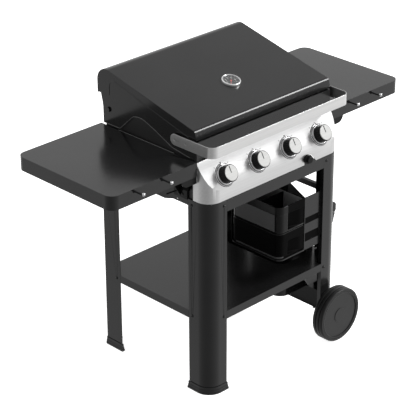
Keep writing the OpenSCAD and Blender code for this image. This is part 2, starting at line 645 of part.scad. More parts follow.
module gauge_dial() { color("#101010") on_hood(0, gauge_y) translate([0, 0, 3.05]) difference() { cylinder(r = 27.9, h = 0.8, $fn = 96); translate([0, 0, -1]) cylinder(r = 1.25, h = 3); } }
module gauge_needle() {
  // at rest it points to the cold end of the scale, lower left
  color("#b02a20") on_hood(0, gauge_y) translate([0, 0, 4.1]) rotate([0, 0, 135]) union() {
    cylinder(r = 3, h = 1.2);
    translate([-0.8, -6, 0]) cube([1.6, 28, 0.8]);
    translate([0, 0, -0.7]) cylinder(r = 1.2, h = 0.8);
  }
}
module gauge_glass() { color("#e8eef2") on_hood(0, gauge_y) translate([0, 0, 7.05]) cylinder(r = 28.4, h = 0.9, $fn = 96); }

// ---------- side shelves ----------
module shelf_pan() {
  // left hand shelf, inner edge at -shelf_x0
  w = sx - shelf_x0;
  t = 1.5;
  module plan(i) {
    intersection() {
      translate([-sx + i, shelf_y0 + i]) translate([w / 2 + 40, shelf_d / 2 - i]) rrect(w + 80, shelf_d - 2 * i, shelf_r - i, $fn = 96);
      translate([-sx, shelf_y0 - 1]) square([w, shelf_d + 2]);
    }
  }
  union() {
    difference() {
      translate([0, 0, shelf_h - apron_h]) linear_extrude(apron_h) plan(0);
      translate([0, 0, shelf_h - apron_h - 1]) linear_extrude(apron_h + 1 - t) plan(t);
    }
    // return lip along the bottom of the apron
    translate([0, 0, shelf_h - apron_h]) linear_extrude(t) difference() { plan(0); plan(11); }
    // inner edge flange
    box([-shelf_x0 - t, shelf_y0 + 12, shelf_h - 26], [-shelf_x0, shelf_y0 + shelf_d - 12, shelf_h - 0.01]);
  }
}
module shelf_left() {
  color("#38383a") difference() {
    shelf_pan();
    for (x = [93, 210]) cyl_y(-sx + x, shelf_h - 7, shelf_y0 - 1, shelf_y0 + 4, 3.05);
  }
}
module shelf_right() {
  color("#38383a") difference() {
    mirror([1, 0, 0]) shelf_pan();
    for (x = [90, 207]) cyl_y(shelf_x0 + x, shelf_h - 7, shelf_y0 - 1, shelf_y0 + 4, 3.05);
  }
}
module shelf_bracket(y) {
  // base plate on the side panel and arm under the shelf
  difference() {
    union() {
      box([-hx - 2, y - 30, 700], [-hx, y + 30, shelf_h - 30]);
      translate([0, y + 1, 0]) rotate([90, 0, 0]) linear_extrude(2)
        polygon([[-hx - 1.9, 704], [-hx - 1.9, shelf_h - 31], [-sx + 70, shelf_h - 31], [-sx + 70, shelf_h - 44], [-hx - 60, shelf_h - 44]]);
      box([-sx + 70, y - 15, shelf_h - 32], [-hx - 2, y + 15, shelf_h - 30]);
      for (x = [-sx + 90, -hx - 60]) box([x - 8, y - 8, shelf_h - 30.01], [x + 8, y + 8, shelf_h - 1.6]);
    }
    for (v = brk_holes) cyl_x(y + v[0], v[1], -hx - 3, -hx + 1, 2.7);
  }
}
module shelf_brackets() {
  color("#242425") {
    for (m = [0, 1], y = [brk_f, brk_r]) mirror([m, 0, 0]) shelf_bracket(y);
    // rounded corner plates next to the body, under the shelf aprons
    for (m = [0, 1], y = [shelf_y0 + 1.8, shelf_y0 + shelf_d - 3.8]) mirror([m, 0, 0])
      translate([0, y + 2, 0]) rotate([90, 0, 0]) linear_extrude(2) union() {
        translate([-shelf_x0 - 40, shelf_h - apron_h - 24]) square([39.5, 23.8]);
        intersection() {
          translate([-shelf_x0 - 40, shelf_h - apron_h + 2]) circle(r = 26);
          translate([-shelf_x0 - 70, shelf_h - apron_h - 24]) square([30.5, 23.8]);
        }
      }
  }
}
module hook(x) {
  cyl_y(x, shelf_h - 7, shelf_y0 - 42, shelf_y0 + 4, 3);
  translate([x, shelf_y0 - 42.5, shelf_h - 4.5]) sphere(r = 5.5);
  difference() {
    cyl_y(x, shelf_h - 7, shelf_y0 - 2, shelf_y0 - 0.05, 6);
    cyl_y(x, shelf_h - 7, shelf_y0 - 3, shelf_y0 + 1, 2.5);
  }
}
module shelf_hooks() {
  color("#d0d1d2") { for (x = [93, 210]) hook(-sx + x); for (x = [90, 207]) hook(shelf_x0 + x); }
}

// ---------- controls ----------
module knob_bezels() {
  color("#cbccce") for (x = kx) on_face(x, knob_s) difference() {
    union() {
      translate([0, 0, 0.05]) cylinder(r1 = 38, r2 = 36.5, h = 3, $fn = 96);
      translate([0, 0, 3.04]) cylinder(r1 = 34, r2 = 32.5, h = 6, $fn = 96);
    }
    translate([0, 0, -1]) cylinder(r = 8.5, h = 12);
    translate([0, 0, 5]) cylinder(r = 29.8, h = 8, $fn = 96);
  }
}
module knob(x) {
  on_face(x, knob_s) difference() {
    union() {
      difference() {
        union() {
          translate([0, 0, 6.5]) cylinder(r1 = knob_d / 2 + 0.6, r2 = knob_d / 2, h = 27, $fn = 96);
        }
        translate([0, 0, 6]) cylinder(r = knob_d / 2 - 3, h = 18, $fn = 96);
        // finger grooves
        for (a = [0:15:345]) rotate([0, 0, a]) translate([knob_d / 2 + 1.1, 0, 14]) cylinder(r = 1.6, h = 14, $fn = 16);
      }
      translate([0, 0, 8]) cylinder(r = 9, h = 20);
      // valve stem
      translate([0, 0, -28]) cylinder(r = 4, h = 37);
    }
    translate([0, 0, 32.3]) cylinder(r = knob_d / 2 - 1.6, h = 5, $fn = 96);
  }
}
module knob_cap(x) {
  on_face(x, knob_s) difference() {
    translate([0, 0, 32.35]) cylinder(r1 = knob_d / 2 - 1.7, r2 = knob_d / 2 - 2.6, h = 3, $fn = 96);
    translate([-0.9, 3, 34.6]) cube([1.8, knob_d / 2 - 8, 2]);
  }
}
module knob_1() { color("#161617") knob(kx[0]); }
module knob_2() { color("#161617") knob(kx[1]); }
module knob_3() { color("#161617") knob(kx[2]); }
module knob_4() { color("#161617") knob(kx[3]); }
module knob_caps_1() { color("#d8d8d6") knob_cap(kx[0]); }
module knob_caps_2() { color("#d8d8d6") knob_cap(kx[1]); }
module knob_caps_3() { color("#d8d8d6") knob_cap(kx[2]); }
module knob_caps_4() { color("#d8d8d6") knob_cap(kx[3]); }
module igniter_housing() {
  color("#161617") difference() {
    union() {
      cyl_y(ign_x, ign_z, -hy - 10, -hy - 0.3, 15.5, $fn = 64);
      cyl_y(ign_x, ign_z, -hy - 0.31, -hy + 30, 6.5);
      cyl_y(ign_x, ign_z, -hy + 2.2, -hy + 6, 11);
    }
    cyl_y(ign_x, ign_z, -hy - 11, -hy - 2.3, 11.3, $fn = 64);
    cyl_y(ign_x, ign_z, -hy - 3, -hy + 27, 4.3);
  }
}
module igniter_button() {
  color("#232324") union() {
    cyl_y(ign_x, ign_z, -hy - 18, -hy - 7.8, 11, $fn = 64);
    cyl_y(ign_x, ign_z, -hy - 7.81, -hy + 12, 4);
  }
}

// ---------- storage bins ----------
// plan of a bin: rounded on the left, nearly square on the right
module bin_plan(w, d, r) {
  rrect(w, d, r, $fn = 64);
  translate([w / 4, 0]) rrect(w / 2, d, 4, $fn = 32);
}
module bin(z0, z1) {
  w = bin_x1 - bin_x0;
  d = bin_y1 - bin_y0;
  translate([(bin_x0 + bin_x1) / 2, (bin_y0 + bin_y1) / 2, 0]) difference() {
    union() {
      translate([0, 0, z0]) linear_extrude(z1 - z0) translate([0.6, -0.6]) bin_plan(w - 1.8, d - 1.8, 24.6);
      translate([0, 0, z1 - 29]) linear_extrude(29) bin_plan(w, d, 25.5);
    }
    difference() {
      translate([0, 0, z0 + 2]) linear_extrude(z1 - z0) rrect(w - 7, d - 7, 22, $fn = 64);
      box([-20, -d / 2, z0], [w / 2 - 22, -d / 2 + 15, z1 + 1]);
    }
    box([-18, -d / 2 - 1, z0 + 8], [w / 2 - 24, -d / 2 + 13, z1 - 3]);
  }
}
module bin_upper() { color("#1b1b1c") bin(476, 575); }
module bin_lower() { color("#1b1b1c") bin(382, 472.8); }
module bin_hanger() {
  color("#222223") union() {
    // floor under each bin
    for (z = [377, 473.5]) translate([(bin_x0 + bin_x1) / 2, (bin_y0 + bin_y1) / 2, z]) linear_extrude(z < 400 ? 4.4 : 2)
      bin_plan(bin_x1 - bin_x0 + (z < 400 ? 1.6 : -2), bin_y1 - bin_y0 + (z < 400 ? 5 : -2), 25);
    // right hand side plate and the strap up to the firebox
    box([bin_x1 + 1, bin_y0 + 24, 377], [bin_x1 + 3, bin_y1 + 6, 545]);
    for (z = [377, 473.5]) box([bin_x1 - 30, bin_y0 + 60, z], [bin_x1 + 3, bin_y1 + 4, z + 2]);
    yz(bin_x1 + 1, bin_x1 + 3) polygon([[-165, 540], [-112, 540], [-112, 691], [-165, 704]]);
    // rear plate and rear strap
    box([bin_x0 + 10, bin_y1 + 2, 379], [bin_x1 + 2, bin_y1 + 4, 560]);
    // slotted front plate between the bins and the leg
    difference() {
      box([bin_x1 + 0.8, bin_y0, 377], [rail_x - 0.3, bin_y0 + 2, 575]);
      for (z = [[408, 440], [475, 498]]) box([bin_x1 + 4, bin_y0 - 1, z[0]], [rail_x - 9, bin_y0 + 1.5, z[1]]);
    }
    box([bin_x1 + 0.8, bin_y0, 377], [bin_x1 + 3, bin_y0 + 30, 575]);
    box([rail_x - 1.8, bin_y0 - 2, 385], [rail_x - 0.3, bin_y0 + 12, 570]);
  }
}
module bottle_opener() {
  color("#1c1c1d") translate([hx, -200, 0]) difference() {
    union() {
      box([0.3, -11, 398], [3, 13, 484]);
      // hood over the cap
      rotate([90, 0, 0]) linear_extrude(24, center = true)
        polygon([[1, 484], [26, 484], [34, 474], [34, 452], [28, 444], [20, 448], [16, 458], [1, 458]]);
      // tooth that grips under the cap
      rotate([90, 0, 0]) linear_extrude(18, center = true)
        polygon([[1, 446], [12, 446], [33, 440], [22, 404], [16, 402], [12, 420], [1, 424]]);
    }
    box([7, -8, 462], [28, 8, 492]);
  }
}

leg_front_left();
leg_front_right();
leg_rear_left();
leg_rear_right();
foot_caps();
cart_rails();
side_panels();
bottom_shelf();
shelf_recess();
axle_carrier();
axle();
wheel_front_hub();
wheel_front_tyre();
wheel_rear_hub();
wheel_rear_tyre();
cart_screws();
firebox_side_left();
firebox_side_right();
firebox_body();
control_panel();
gas_manifold();
gas_valves();
burners();
ignition_electrodes();
flame_tamers();
grate_left();
grate_right();
warming_rack();
grease_tray();
tray_guides();
hinge_pins();
hood_shell();
hood_front();
hood_end_left();
hood_end_right();
handle_band();
handle_mounts();
gauge_case();
gauge_dial();
gauge_needle();
gauge_glass();
shelf_left();
shelf_right();
shelf_brackets();
shelf_hooks();
knob_bezels();
knob_1();
knob_2();
knob_3();
knob_4();
knob_caps_1();
knob_caps_2();
knob_caps_3();
knob_caps_4();
igniter_housing();
igniter_button();
bin_upper();
bin_lower();
bin_hanger();
bottle_opener();
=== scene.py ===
import bpy, bmesh, math
from mathutils import Vector, Matrix


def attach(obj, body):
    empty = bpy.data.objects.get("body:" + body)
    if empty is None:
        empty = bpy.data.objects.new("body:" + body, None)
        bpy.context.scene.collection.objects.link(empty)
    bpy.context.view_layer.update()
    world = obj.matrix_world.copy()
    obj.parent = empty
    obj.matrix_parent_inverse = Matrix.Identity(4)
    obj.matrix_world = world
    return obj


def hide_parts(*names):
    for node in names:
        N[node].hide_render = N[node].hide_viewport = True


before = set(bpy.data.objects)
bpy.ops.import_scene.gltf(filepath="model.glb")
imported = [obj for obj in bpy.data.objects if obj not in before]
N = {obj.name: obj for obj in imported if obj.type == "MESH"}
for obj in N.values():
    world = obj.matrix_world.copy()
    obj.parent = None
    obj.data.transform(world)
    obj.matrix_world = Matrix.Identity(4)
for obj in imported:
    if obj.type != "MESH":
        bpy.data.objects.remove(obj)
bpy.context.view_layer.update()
S = bpy.context.scene
MM = 0.001

# ------------------------------------------------------------------ colour management, world, camera
S.view_settings.view_transform = "Standard"
S.view_settings.look = "None"
S.view_settings.exposure = 0.0

cam_data = bpy.data.cameras.new("camera")
cam = bpy.data.objects.new("camera", cam_data)
S.collection.objects.link(cam)
S.camera = cam
FPX, CX, CY, W = 1727.3, 213.5, 197.2, 416.0
cam_data.sensor_width = 36.0
cam_data.sensor_fit = "HORIZONTAL"
cam_data.lens = FPX / W * 36.0
cam_data.shift_x = -(CX - W / 2) / W
cam_data.shift_y = (CY - W / 2) / W
cam_data.clip_end = 100
az, el, roll = math.radians(-44.9), math.radians(25.9), math.radians(-0.1)
cam.location = (-3.7391, -3.7145, 3.1068)
fwd = Vector((0.6347, 0.6373, -0.4370)).normalized()
cam.rotation_mode = "QUATERNION"
cam.rotation_quaternion = fwd.to_track_quat("-Z", "Y") @ Matrix.Rotation(roll, 4, "Z").to_quaternion()


# ------------------------------------------------------------------ shader helpers
class G:
    """small helper round a node tree"""

    def __init__(self, name):
        self.m = bpy.data.materials.new(name)
        self.m.use_nodes = True
        self.t = self.m.node_tree
        self.t.nodes.clear()
        self.out = self.t.nodes.new("ShaderNodeOutputMaterial")
        self.b = self.t.nodes.new("ShaderNodeBsdfPrincipled")
        self.t.links.new(self.b.outputs[0], self.out.inputs[0])
        self.co = self.t.nodes.new("ShaderNodeTexCoord").outputs["Object"]

    def set(self, **kw):
        for k, v in kw.items():
            self.b.inputs[k.replace("_", " ")].default_value = v
        return self

    def map(self, scale, rot=(0, 0, 0), src=None):
        n = self.t.nodes.new("ShaderNodeMapping")
        n.inputs["Scale"].default_value = scale
        n.inputs["Rotation"].default_value = rot
        self.t.links.new(src or self.co, n.inputs["Vector"])
        return n.outputs[0]

    def noise(self, scale, detail=3, rough=0.5, vec=None, dist=0.0):
        n = self.t.nodes.new("ShaderNodeTexNoise")
        n.inputs["Scale"].default_value = scale
        n.inputs["Detail"].default_value = detail
        n.inputs["Roughness"].default_value = rough
        n.inputs["Distortion"].default_value = dist
        self.t.links.new(vec or self.co, n.inputs["Vector"])
        return n.outputs["Fac"]

    def voronoi(self, scale, vec=None, feature="F1"):
        n = self.t.nodes.new("ShaderNodeTexVoronoi")
        n.feature = feature
        n.inputs["Scale"].default_value = scale
        self.t.links.new(vec or self.co, n.inputs["Vector"])
        return n.outputs["Distance"]

    def ramp(self, fac, stops, interp="LINEAR"):
        n = self.t.nodes.new("ShaderNodeValToRGB")
        n.color_ramp.interpolation = interp
        e = n.color_ramp.elements
        while len(e) < len(stops):
            e.new(0.5)
        for i, (p, c) in enumerate(stops):
            e[i].position = p
            e[i].color = (c, c, c, 1) if isinstance(c, (int, float)) else (*c, 1)
        self.t.links.new(fac, n.inputs[0])
        return n.outputs[0]

    def math(self, op, a, b=None, c=None, clamp=False):
        n = self.t.nodes.new("ShaderNodeMath")
        n.operation = op
        n.use_clamp = clamp
        for i, v in enumerate((a, b, c)):
            if v is None:
                continue
            if isinstance(v, (int, float)):
                n.inputs[i].default_value = v
            else:
                self.t.links.new(v, n.inputs[i])
        return n.outputs[0]

    def mix(self, fac, a, b, mode="MIX"):
        n = self.t.nodes.new("ShaderNodeMix")
        n.data_type = "RGBA"
        n.blend_type = mode
        for i, v in ((0, fac), (6, a), (7, b)):
            if isinstance(v, (int, float)):
                n.inputs[i].default_value = v if i == 0 else (v, v, v, 1)
            elif isinstance(v, tuple):
                n.inputs[i].default_value = (*v, 1)
            else:
                self.t.links.new(v, n.inputs[i])
        return n.outputs[2]

    def sep(self, vec=None):
        n = self.t.nodes.new("ShaderNodeSeparateXYZ")
        self.t.links.new(vec or self.co, n.inputs[0])
        return n.outputs

    def color(self, sock):
        self.t.links.new(sock, self.b.inputs["Base Color"])
        return self

    def rough(self, sock):
        self.t.links.new(sock, self.b.inputs["Roughness"])
        return self

    def bump(self, h, strength=0.2, dist=0.0005):
        n = self.t.nodes.new("ShaderNodeBump")
        n.inputs["Strength"].default_value = strength
        n.inputs["Distance"].default_value = dist
        self.t.links.new(h, n.inputs["Height"])
        prev = self.b.inputs["Normal"]
        if prev.is_linked:
            self.t.links.new(prev.links[0].from_socket, n.inputs["Normal"])
        self.t.links.new(n.outputs[0], prev)
        return self


def powder(name, lo, hi, rough=0.42, spread=0.06, grain=1400, bump=0.12, spec=0.5):
    """powder coated sheet: fine orange peel, cloudy tone, a few paler rubbed specks"""
    g = G(name)
    cloud = g.noise(5.0, 5, 0.55)
    fine = g.noise(grain, 2, 0.6)
    speck = g.noise(420, 6, 0.7)
    base = g.ramp(cloud, [(0.3, lo), (0.7, hi)])
    dusty = g.ramp(speck, [(0.60, 0.0), (0.74, 1.0)])
    base = g.mix(g.math("MULTIPLY", dusty, 0.10), base, tuple(min(1, v * 2.2) for v in hi))
    g.color(base)
    r = g.math("MULTIPLY_ADD", g.noise(26, 4, 0.6), spread * 2, rough - spread)
    g.rough(g.math("MULTIPLY_ADD", fine, 0.06, r))
    g.bump(fine, bump, 0.0004)
    g.bump(g.noise(grain / 5, 2, 0.5), bump * 0.6, 0.0006)
    g.set(Metallic=0.0, Specular_IOR_Level=spec)
    return g.m


def brushed(name, lo, hi, axis="X", rough=0.3, bump=0.05, metal=1.0, aniso=0.0):
    """brushed steel: long hair lines along one axis, a little tone drift and smudging"""
    g = G(name)
    sc = {"X": (3.0, 900.0, 900.0), "Y": (900.0, 3.0, 900.0), "Z": (900.0, 900.0, 3.0)}[axis]
    hair = g.noise(1.0, 6, 0.75, g.map(sc))
    sc2 = {"X": (0.8, 160.0, 160.0), "Y": (160.0, 0.8, 160.0), "Z": (160.0, 160.0, 0.8)}[axis]
    wide = g.noise(1.0, 4, 0.6, g.map(sc2))
    smudge = g.noise(9, 5, 0.6)
    t = g.math("ADD", g.math("MULTIPLY", hair, 0.6), g.math("MULTIPLY", wide, 0.4))
    g.color(g.ramp(t, [(0.30, lo), (0.68, hi)]))
    r = g.math("MULTIPLY_ADD", hair, 0.16, rough - 0.08)
    g.rough(g.math("MULTIPLY_ADD", smudge, 0.08, r))
    g.bump(hair, bump, 0.0003)
    g.set(Metallic=metal, Anisotropic=aniso)
    return g.m


def polished(name, col, rough=0.08):
    g = G(name)
    n = g.noise(60, 5, 0.6)
    g.color(g.ramp(n, [(0.3, tuple(c * 0.9 for c in col)), (0.7, col)]))
    g.rough(g.math("MULTIPLY_ADD", g.noise(300, 4, 0.7), 0.10, rough - 0.03))
    g.bump(g.noise(180, 3), 0.03, 0.0003)
    g.set(Metallic=1.0)
    return g.m


def plastic(name, lo, hi, rough=0.38, grain=900, bump=0.15, coat=0.0, spec=0.5):
    """moulded plastic: leather-like spark grain, faint flow marks"""
    g = G(name)
    v = g.voronoi(grain)
    f = g.noise(7, 4, 0.6)
    g.color(g.mix(g.math("MULTIPLY", v, 0.25), g.ramp(f, [(0.3, lo), (0.7, hi)]), tuple(min(1, c * 1.5) for c in hi)))
    g.rough(g.math("MULTIPLY_ADD", g.noise(40, 4, 0.6), 0.14, rough - 0.07))
    g.bump(v, bump, 0.0002)
    g.set(Specular_IOR_Level=spec, Coat_Weight=coat, Coat_Roughness=0.12)
    return g.m


M = {}
M["charcoal"] = powder("charcoal_coat", (0.0085, 0.0085, 0.0087), (0.0125, 0.0125, 0.0127), rough=0.15, spread=0.02, bump=0.03)
M["black"] = powder("black_coat", (0.0085, 0.0085, 0.0087), (0.0120, 0.0120, 0.0122), rough=0.18, spread=0.02, bump=0.03)
# darker copy of the black coat: painted shade on the axle carrier, shelf brackets and right screen
M["under"] = powder("shade_coat", (0.004, 0.004, 0.004), (0.006, 0.006, 0.006), rough=0.22, spread=0.02, bump=0.03, spec=0.2)
M["firebox"] = powder("heat_coat", (0.007, 0.007, 0.007), (0.011, 0.011, 0.011), rough=0.42, grain=700, bump=0.15)
M["stainless"] = brushed("stainless_panel", (0.62, 0.62, 0.62), (0.78, 0.78, 0.78), "X", rough=0.34)
M["band"] = brushed("stainless_band", (0.66, 0.66, 0.66), (0.84, 0.835, 0.83), "X", rough=0.28)
M["steel"] = brushed("zinc_steel", (0.35, 0.36, 0.37), (0.55, 0.56, 0.57), "Y", rough=0.35)
M["chrome"] = polished("bright_metal", (0.80, 0.80, 0.81), 0.09)
M["burner"] = brushed("burner_steel", (0.28, 0.26, 0.22), (0.45, 0.43, 0.40), "Y", rough=0.45)
M["ring"] = polished("ring_metal", (0.93, 0.93, 0.93), 0.22)
M["brass"] = polished("valve_brass", (0.56, 0.42, 0.18), 0.3)
M["iron"] = powder("enamel_iron", (0.006, 0.006, 0.006), (0.012, 0.012, 0.012), rough=0.35, grain=500, bump=0.25)
M["plastic"] = plastic("black_plastic", (0.008, 0.008, 0.0085), (0.013, 0.013, 0.0135), rough=0.38)
M["bin"] = plastic("bin_plastic", (0.003, 0.003, 0.0032), (0.005, 0.005, 0.0052), rough=0.14, bump=0.01)
M["knob"] = plastic("knob_black", (0.006, 0.006, 0.0065), (0.008, 0.008, 0.0084), rough=0.30, bump=0.06, spec=0.13)
M["tyre"] = plastic("tread_plastic", (0.010, 0.010, 0.010), (0.013, 0.013, 0.013), rough=0.42, bump=0.12, spec=0.33)
M["hub"] = plastic("hub_plastic", (0.009, 0.009, 0.009), (0.013, 0.013, 0.013), rough=0.38, bump=0.12, spec=0.42)
M["oxide"] = powder("black_oxide", (0.006, 0.006, 0.006), (0.010, 0.010, 0.010), rough=0.35)
M["porcelain"] = plastic("porcelain", (0.62, 0.60, 0.56), (0.72, 0.70, 0.66), rough=0.25, bump=0.03)
M["dial"] = plastic("dial_face", (0.006, 0.006, 0.006), (0.009, 0.009, 0.009), rough=0.5, bump=0.05, spec=0.04)
M["red"] = plastic("pointer_red", (0.50, 0.02, 0.015), (0.62, 0.03, 0.02), rough=0.4, bump=0.03)
M["face"] = brushed("knob_face", (0.40, 0.40, 0.395), (0.50, 0.50, 0.49), "X", rough=0.34)

g = G("gauge_glass")
g.color(g.ramp(g.noise(30, 3), [(0.3, (0.95, 0.97, 0.98)), (0.7, (1, 1, 1))]))
g.rough(g.math("MULTIPLY_ADD", g.noise(200, 3), 0.03, 0.01))
g.set(Alpha=0.07, IOR=1.3, Specular_IOR_Level=0.3)
M["glass"] = g.m

M["mark"] = plastic("mark_white", (0.62, 0.62, 0.60), (0.74, 0.74, 0.72), rough=0.45, bump=0.03)
# paler grey on the bins' outer left side and lower lip: painted reflection
M["satin"] = plastic("bin_liner", (0.050, 0.050, 0.051), (0.066, 0.066, 0.067), rough=0.42, bump=0.04)
# light grey on the upper bin's inner right wall: painted reflection
M["liner"] = plastic("bin_inside_wall", (0.26, 0.26, 0.262), (0.33, 0.33, 0.333), rough=0.36, bump=0.04)
M["bin_matt"] = plastic("bin_matt", (0.002, 0.002, 0.002), (0.003, 0.003, 0.003), rough=0.5, bump=0.04, spec=0.03)
M["bin_band"] = plastic("bin_band", (0.003, 0.003, 0.003), (0.005, 0.005, 0.005), rough=0.22, bump=0.02, spec=0.24)
# pale coat for thin tubes along sheet edges: painted highlight
M["edge"] = powder("edge_coat", (0.105, 0.105, 0.105), (0.150, 0.150, 0.150), rough=0.22, spread=0.03, bump=0.03)

# bottle opener: grey lower part, black towards the top
g = G("opener_cast")
z = g.sep()[2]
# colour set by height plus a little noise: grey low down, black higher up
height_blend = g.math("ADD", z, g.math("MULTIPLY", g.noise(240, 4, 0.6), 0.004))
tone = g.ramp(g.math("MULTIPLY_ADD", height_blend, 25.0, -10.6), [(0.0, (0.075, 0.075, 0.076)), (0.62, (0.060, 0.060, 0.061)), (0.78, (0.006, 0.006, 0.006))])
g.color(tone)
g.rough(g.math("MULTIPLY_ADD", g.noise(300, 4, 0.6), 0.16, 0.28))
g.bump(g.noise(700, 3, 0.6), 0.12, 0.0004)
M["opener"] = g.m

ASSIGN = {
    "charcoal": ["hood_shell", "hood_front", "hood_end_left", "hood_end_right", "shelf_left", "shelf_right"],
    "black": ["leg_front_left", "leg_front_right", "leg_rear_left", "leg_rear_right", "cart_rails", "side_panels",
              "bottom_shelf", "shelf_recess", "tray_guides", "bin_hanger"],
    "firebox": ["firebox_side_left", "firebox_side_right", "firebox_body"],
    "plastic": ["foot_caps"],
    "opener": ["bottle_opener"],
    # darker black coat as painted shade
    "under": ["axle_carrier", "shelf_brackets"],
    "hub": ["wheel_front_hub", "wheel_rear_hub"],
    "tyre": ["wheel_front_tyre", "wheel_rear_tyre"],
    "knob": ["knob_1", "knob_2", "knob_3", "knob_4", "igniter_housing", "igniter_button"],
    "face": ["knob_caps_1", "knob_caps_2", "knob_caps_3", "knob_caps_4"],
    "steel": ["axle", "gas_manifold", "handle_mounts", "grease_tray"],
    "oxide": ["cart_screws", "hinge_pins"],
    "stainless": ["control_panel"],
    "band": ["handle_band"],
    "burner": ["burners", "flame_tamers"],
    "chrome": ["knob_bezels", "gauge_case", "warming_rack"],
    "brass": ["gas_valves"],
    "iron": ["grate_left", "grate_right"],
    "dial": ["gauge_dial"],
    "red": ["gauge_needle"],
    "glass": ["gauge_glass"],
    "porcelain": ["ignition_electrodes"],
}
BEVEL = {"cart_screws": 0.0003, "gauge_dial": 0.0, "gauge_needle": 0.0, "gauge_glass": 0.0, "burners": 0.0,
         "ignition_electrodes": 0.0, "knob_bezels": 0.0006, "warming_rack": 0.0, "gas_valves": 0.0003, "gas_manifold": 0.0003,
         "knob_1": 0.0005, "knob_2": 0.0005, "knob_3": 0.0005, "knob_4": 0.0005}
for key, names in ASSIGN.items():
    for n in names:
        o = N[n]
        o.data.materials.clear()
        o.data.materials.append(M[key])
        w = o.modifiers.new("weld", "WELD")
        w.merge_threshold = 0.000005
        width = BEVEL.get(n, 0.0006)
        if width > 0:
            bv = o.modifiers.new("bevel", "BEVEL")
            bv.width = width
            bv.segments = 2
            bv.limit_method = "ANGLE"
            bv.angle_limit = math.radians(40)
            bv.harden_normals = False
            bv.use_clamp_overlap = True
        wn = o.modifiers.new("normals", "WEIGHTED_NORMAL")
        wn.keep_sharp = False
        wn.weight = 90

# ------------------------------------------------------------------ pieces built here (coordinates in mm, row frame)
T13, SN, CS = math.tan(math.radians(13)), math.sin, math.cos


class B:
    """collects shapes for one piece"""

    def __init__(self):
        self.v, self.f, self.i = [], [], []

    def add(self, verts, faces, mat=0):
        k = len(self.v)
        self.v += [tuple(v) for v in verts]
        self.f += [tuple(a + k for a in f) for f in faces]
        self.i += [mat] * len(faces)

    def loft(self, loops, mat=0, cap0=True, cap1=True, mats=None):
        n = len(loops[0])
        v = [p for lp in loops for p in lp]
        f, im = [], []
        for j in range(len(loops) - 1):
            for i in range(n):
                a, b = j * n + i, j * n + (i + 1) % n
                f.append((a, b, b + n, a + n))
                im.append(mats(j, i) if mats else mat)
        if cap0:
            f.append(tuple(range(n - 1, -1, -1)))
            im.append(mats(0, -1) if mats else mat)
        if cap1:
            f.append(tuple((len(loops) - 1) * n + i for i in range(n)))
            im.append(mats(len(loops) - 1, -1) if mats else mat)
        k = len(self.v)
        self.v += [tuple(p) for p in v]
        self.f += [tuple(a + k for a in q) for q in f]
        self.i += im

    def lathe(self, mtx, prof, n=64, mat=0, closed=False):
        """closed=False: the profile starts and ends near the axis and is capped"""
        loops = [[mtx @ Vector((r * CS(2 * math.pi * i / n), r * SN(2 * math.pi * i / n), z)) for i in range(n)] for r, z in prof]
        if closed:
            loops.append(loops[0])
        self.loft(loops, mat, not closed, not closed)

    def tube(self, pts, r, n=10, mat=0, ends=True):
        pts = [Vector(p) for p in pts]
        loops, up = [], Vector((0.31, 0.17, 0.93))
        for i, p in enumerate(pts):
            t = (pts[min(i + 1, len(pts) - 1)] - pts[max(i - 1, 0)]).normalized()
            a = t.cross(up).normalized()
            b = a.cross(t)
            ring = lambda c, q: [c + a * (q * CS(2 * math.pi * k / n)) + b * (q * SN(2 * math.pi * k / n)) for k in range(n)]
            if i == 0 and ends:
                loops += [ring(p - t * r * 0.9, r * 0.45), ring(p - t * r * 0.5, r * 0.86)]
            loops.append(ring(p, r))
            if i == len(pts) - 1 and ends:
                loops += [ring(p + t * r * 0.5, r * 0.86), ring(p + t * r * 0.9, r * 0.45)]
            up = b
        self.loft(loops, mat)

    def slab(self, mtx, outline, z0, z1, ch=0.3, mat=0):
        """flat plate with softened upper edge; outline counter clockwise"""
        n = len(outline)
        cx, cy = sum(p[0] for p in outline) / n, sum(p[1] for p in outline) / n

        def inset(p, d):
            q = Vector((p[0] - cx, p[1] - cy))
            l = q.length
            return (cx + q.x * (1 - d / max(l, d * 1.5)), cy + q.y * (1 - d / max(l, d * 1.5)))
        loops = [[mtx @ Vector((p[0], p[1], z0)) for p in outline], [mtx @ Vector((p[0], p[1], z1 - ch)) for p in outline],
                 [mtx @ Vector((*inset(p, ch), z1)) for p in outline]]
        self.loft(loops, mat)

    def make(self, name, mats, body, replaces=(), bevel=0.0):
        me = bpy.data.meshes.new(name)
        me.from_pydata([(x * MM, y * MM, z * MM) for x, y, z in self.v], [], self.f)
        for m in mats:
            me.materials.append(m)
        me.polygons.foreach_set("material_index", self.i)
        me.polygons.foreach_set("use_smooth", [True] * len(self.f))
        bm = bmesh.new()
        bm.from_mesh(me)
        bmesh.ops.remove_doubles(bm, verts=bm.verts, dist=1e-7)
        bmesh.ops.recalc_face_normals(bm, faces=bm.faces)
        bm.to_mesh(me)
        bm.free()
        o = bpy.data.objects.new(name, me)
        S.collection.objects.link(o)
        if bevel:
            bv = o.modifiers.new("bevel", "BEVEL")
            bv.width, bv.segments, bv.limit_method, bv.angle_limit = bevel * MM, 2, "ANGLE", math.radians(40)
        wn = o.modifiers.new("normals", "WEIGHTED_NORMAL")
        wn.keep_sharp, wn.weight = False, 90
        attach(o, body)
        if replaces:
            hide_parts(*replaces)
        return o


def capsule(x0, y0, x1, y1, w, n=6):
    a = math.atan2(y1 - y0, x1 - x0)
    out = []
    for (cx, cy, s) in ((x1, y1, -90), (x0, y0, 90)):
        for k in range(n + 1):
            t = a + math.radians(s + 180 * k / n)
            out.append((cx + w / 2 * CS(t), cy + w / 2 * SN(t)))
    return out


